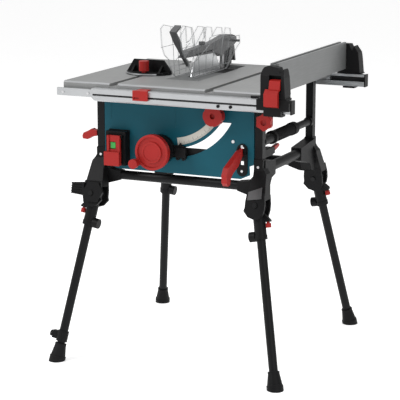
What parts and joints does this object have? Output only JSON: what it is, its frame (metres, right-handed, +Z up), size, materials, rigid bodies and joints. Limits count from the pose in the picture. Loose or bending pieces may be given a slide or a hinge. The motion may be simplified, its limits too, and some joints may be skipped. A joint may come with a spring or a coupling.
{
  "type": "table saw",
  "caption": "Jobsite table saw: slotted metal table, sliding rails and rip fence, tilting blade with clear guard, mitre gauge, folding splayed stand legs.",
  "frame": {"origin": "on the floor, under the middle of the overall box of the saw", "axes": "+X to the right of a person facing the front panel, +Y towards the back, +Z up"},
  "size_m": [0.8275, 0.8351, 1.076],
  "materials": {
    "cast_table": "fine brushed cast aluminium",
    "insert": "satin",
    "black_plastic": "matte",
    "cabinet": "matte",
    "teal_panel": "semi-gloss",
    "scale": "satin",
    "black_steel": "satin powder coat",
    "black_rubber": "soft matte",
    "rail_aluminium": "anodised",
    "red_plastic": "satin moulded",
    "screw_steel": "dark zinc",
    "fence_aluminium": "satin anodised",
    "dark_steel": "blackened",
    "grey_plastic": "satin",
    "bright_steel": "ground",
    "motor_housing": "satin",
    "blade_steel": "circular ground",
    "clear_guard": "clear polycarbonate",
    "green_plastic": "gloss"
  },
  "bodies": {
    "saw_body": {"table_top": "cast_table", "throat_plate": "insert", "throat_rear": "black_plastic", "cabinet": "cabinet", "front_panel": "teal_panel", "bevel_scale": "scale", "switch_box": "black_plastic", "black_fittings": "black_plastic", "posts": "black_steel", "frame_tubes": "black_steel", "handle_grips": "black_rubber", "front_brackets": "black_plastic", "side_rest": "black_plastic", "rear_brackets": "black_plastic", "fixed_rails": "rail_aluminium", "rail_cursor": "red_plastic", "fasteners": "screw_steel"},
    "rails": {"front_rail": "rail_aluminium", "rear_rail": "rail_aluminium", "rail_fittings": "black_plastic"},
    "fence": {"fence_beam": "fence_aluminium", "fence_heads": "black_plastic"},
    "fence_lever": {"fence_lever": "red_plastic"},
    "tilt": {"tilt_frame": "black_steel", "riving_knife": "dark_steel", "guard_arm": "grey_plastic"},
    "lift_screw": {"lift_screw": "bright_steel"},
    "handwheel": {"handwheel": "red_plastic"},
    "crank_knob": {"crank_knob": "red_plastic"},
    "carriage": {"motor": "motor_housing", "shroud": "black_steel"},
    "blade": {"blade": "blade_steel", "arbor": "bright_steel"},
    "shield_left": {"shield_left": "clear_guard"},
    "shield_right": {"shield_right": "clear_guard"},
    "pawls": {"pawls": "bright_steel"},
    "bevel_lock_knob": {"bevel_lock_knob": "red_plastic"},
    "rail_lock_lever": {"rail_lock_lever": "red_plastic"},
    "extension_knob": {"extension_knob": "red_plastic"},
    "side_lever": {"side_lever": "red_plastic"},
    "clamp_lever": {"clamp_lever": "red_plastic"},
    "switch_flap": {"switch_flap": "red_plastic"},
    "start_button": {"start_button": "green_plastic"},
    "mitre_bar": {"mitre_bar": "bright_steel"},
    "mitre_head": {"mitre_head": "black_plastic"},
    "mitre_knob": {"mitre_knob": "red_plastic"},
    "leg_fl": {"leg_fl": "black_steel", "fittings_fl": "black_plastic"},
    "leg_fr": {"leg_fr": "black_steel", "fittings_fr": "black_plastic"},
    "leg_rl": {"leg_rl": "black_steel", "fittings_rl": "black_plastic"},
    "leg_rr": {"leg_rr": "black_steel", "fittings_rr": "black_plastic"},
    "leg_fl_ext": {"leg_fl_ext": "black_rubber"},
    "button_fl": {"button_fl": "red_plastic"},
    "button_fr": {"button_fr": "red_plastic"},
    "button_rl": {"button_rl": "red_plastic"},
    "button_rr": {"button_rr": "red_plastic"}
  },
  "joints": [
    {"name": "rail_extension", "type": "slide", "parent": "saw_body", "child": "rails", "axis": [1, 0, 0], "range_m": [-0.105, 0]},
    {"name": "fence_slide", "type": "slide", "parent": "rails", "child": "fence", "axis": [1, 0, 0], "range_m": [-0.2, 0]},
    {"name": "fence_lock", "type": "hinge", "parent": "fence", "child": "fence_lever", "pos_m": [0.353, -0.361, 0.94], "axis": [-1, 0, 0], "range_deg": [0, 60]},
    {"name": "bevel_tilt", "type": "hinge", "parent": "saw_body", "child": "tilt", "pos_m": [-0.052, -0.019, 0.9], "axis": [0, -1, 0], "range_deg": [0, 45]},
    {"name": "blade_lift", "type": "slide", "parent": "tilt", "child": "carriage", "axis": [0, 0, 1], "range_m": [-0.08, 0]},
    {"name": "blade_spin", "type": "hinge", "parent": "carriage", "child": "blade", "pos_m": [-0.052, 0.041, 0.853], "axis": [1, 0, 0], "continuous": true},
    {"name": "handwheel_turn", "type": "hinge", "parent": "tilt", "child": "handwheel", "pos_m": [-0.08201, -0.289, 0.68862], "axis": [0, -1, 0], "range_deg": [-3601, 1]},
    {"name": "lift_screw_turn", "type": "hinge", "parent": "tilt", "child": "lift_screw", "pos_m": [-0.08201, -0.159, 0.7], "axis": [0, 0, 1], "range_deg": [-3601, 1]},
    {"name": "crank_knob_spin", "type": "hinge", "parent": "handwheel", "child": "crank_knob", "pos_m": [-0.13501, -0.319, 0.65262], "axis": [0, 1, 0], "continuous": true},
    {"name": "left_shield_float", "type": "hinge", "parent": "tilt", "child": "shield_left", "pos_m": [-0.087, 0.231, 0.985], "axis": [-1, 0, 0], "range_deg": [0, 20]},
    {"name": "right_shield_lift", "type": "hinge", "parent": "tilt", "child": "shield_right", "pos_m": [-0.017, 0.231, 0.985], "axis": [-1, 0, 0], "range_deg": [0, 40]},
    {"name": "pawl_swing", "type": "hinge", "parent": "tilt", "child": "pawls", "pos_m": [-0.052, 0.173, 0.946], "axis": [1, 0, 0], "range_deg": [0, 18]},
    {"name": "bevel_lock_turn", "type": "hinge", "parent": "saw_body", "child": "bevel_lock_knob", "pos_m": [0.11, -0.249, 0.81], "axis": [0, -1, 0], "range_deg": [0, 180]},
    {"name": "rail_lock", "type": "hinge", "parent": "saw_body", "child": "rail_lock_lever", "pos_m": [0.193, -0.234, 0.7], "axis": [-1, 0, 0], "range_deg": [0, 45]},
    {"name": "extension_knob_turn", "type": "hinge", "parent": "saw_body", "child": "extension_knob", "pos_m": [0.274, -0.244, 0.801], "axis": [0, -1, 0], "range_deg": [0, 360]},
    {"name": "side_lever_turn", "type": "hinge", "parent": "saw_body", "child": "side_lever", "pos_m": [-0.327, -0.2115, 0.721], "axis": [1, 0, 0], "range_deg": [-60, 60]},
    {"name": "clamp_lever_turn", "type": "hinge", "parent": "saw_body", "child": "clamp_lever", "pos_m": [0.245, -0.123, 0.691], "axis": [-1, 0, 0], "range_deg": [0, 30]},
    {"name": "switch_flap_open", "type": "hinge", "parent": "saw_body", "child": "switch_flap", "pos_m": [-0.2305, -0.2655, 0.723], "axis": [-1, 0, 0], "range_deg": [0, 90]},
    {"name": "start_press", "type": "slide", "parent": "saw_body", "child": "start_button", "axis": [0, 1, 0], "range_m": [0, 0.003]},
    {"name": "mitre_slide", "type": "slide", "parent": "saw_body", "child": "mitre_bar", "axis": [0, 1, 0], "range_m": [-0.06, 0.07]},
    {"name": "mitre_angle", "type": "hinge", "parent": "mitre_bar", "child": "mitre_head", "pos_m": [-0.203, -0.107, 0.904], "axis": [0, 0, 1], "range_deg": [-60, 60]},
    {"name": "mitre_knob_turn", "type": "hinge", "parent": "mitre_head", "child": "mitre_knob", "pos_m": [-0.203, -0.107, 0.92], "axis": [0, 0, 1], "range_deg": [-90, 90]},
    {"name": "leg_fl_fold", "type": "hinge", "parent": "saw_body", "child": "leg_fl", "pos_m": [-0.297, -0.271, 0.535], "axis": [0, -0.9758, 0.2189], "range_deg": [0, 77]},
    {"name": "button_fl_press", "type": "slide", "parent": "leg_fl", "child": "button_fl", "axis": [0.155, 0.2162, 0.964], "range_m": [0, 0.004]},
    {"name": "leg_fl_adjust", "type": "slide", "parent": "leg_fl", "child": "leg_fl_ext", "axis": [-0.155, -0.2162, -0.964], "range_m": [0, 0.02]},
    {"name": "leg_fr_fold", "type": "hinge", "parent": "saw_body", "child": "leg_fr", "pos_m": [0.249, -0.235, 0.535], "axis": [0, 0.9679, -0.2515], "range_deg": [0, 82]},
    {"name": "button_fr_press", "type": "slide", "parent": "leg_fr", "child": "button_fr", "axis": [-0.2088, 0.2459, 0.9465], "range_m": [0, 0.004]},
    {"name": "leg_rl_fold", "type": "hinge", "parent": "saw_body", "child": "leg_rl", "pos_m": [-0.294, 0.251, 0.535], "axis": [0, -0.9769, -0.2136], "range_deg": [0, 79]},
    {"name": "button_rl_press", "type": "slide", "parent": "leg_rl", "child": "button_rl", "axis": [0.1357, -0.2117, 0.9679], "range_m": [0, 0.004]},
    {"name": "leg_rr_fold", "type": "hinge", "parent": "saw_body", "child": "leg_rr", "pos_m": [0.248, 0.282, 0.535], "axis": [0, 0.9799, 0.1996], "range_deg": [0, 81]},
    {"name": "button_rr_press", "type": "slide", "parent": "leg_rr", "child": "button_rr", "axis": [-0.1714, -0.1967, 0.9654], "range_m": [0, 0.004]}
  ],
  "couplings": [
    {"joint": "handwheel_turn", "follows": "blade_lift", "rad_per_m": 785.4},
    {"joint": "lift_screw_turn", "follows": "blade_lift", "rad_per_m": 785.4},
    {"joint": "left_shield_float", "follows": "bevel_tilt", "ratio": 0.4444}
  ]
}
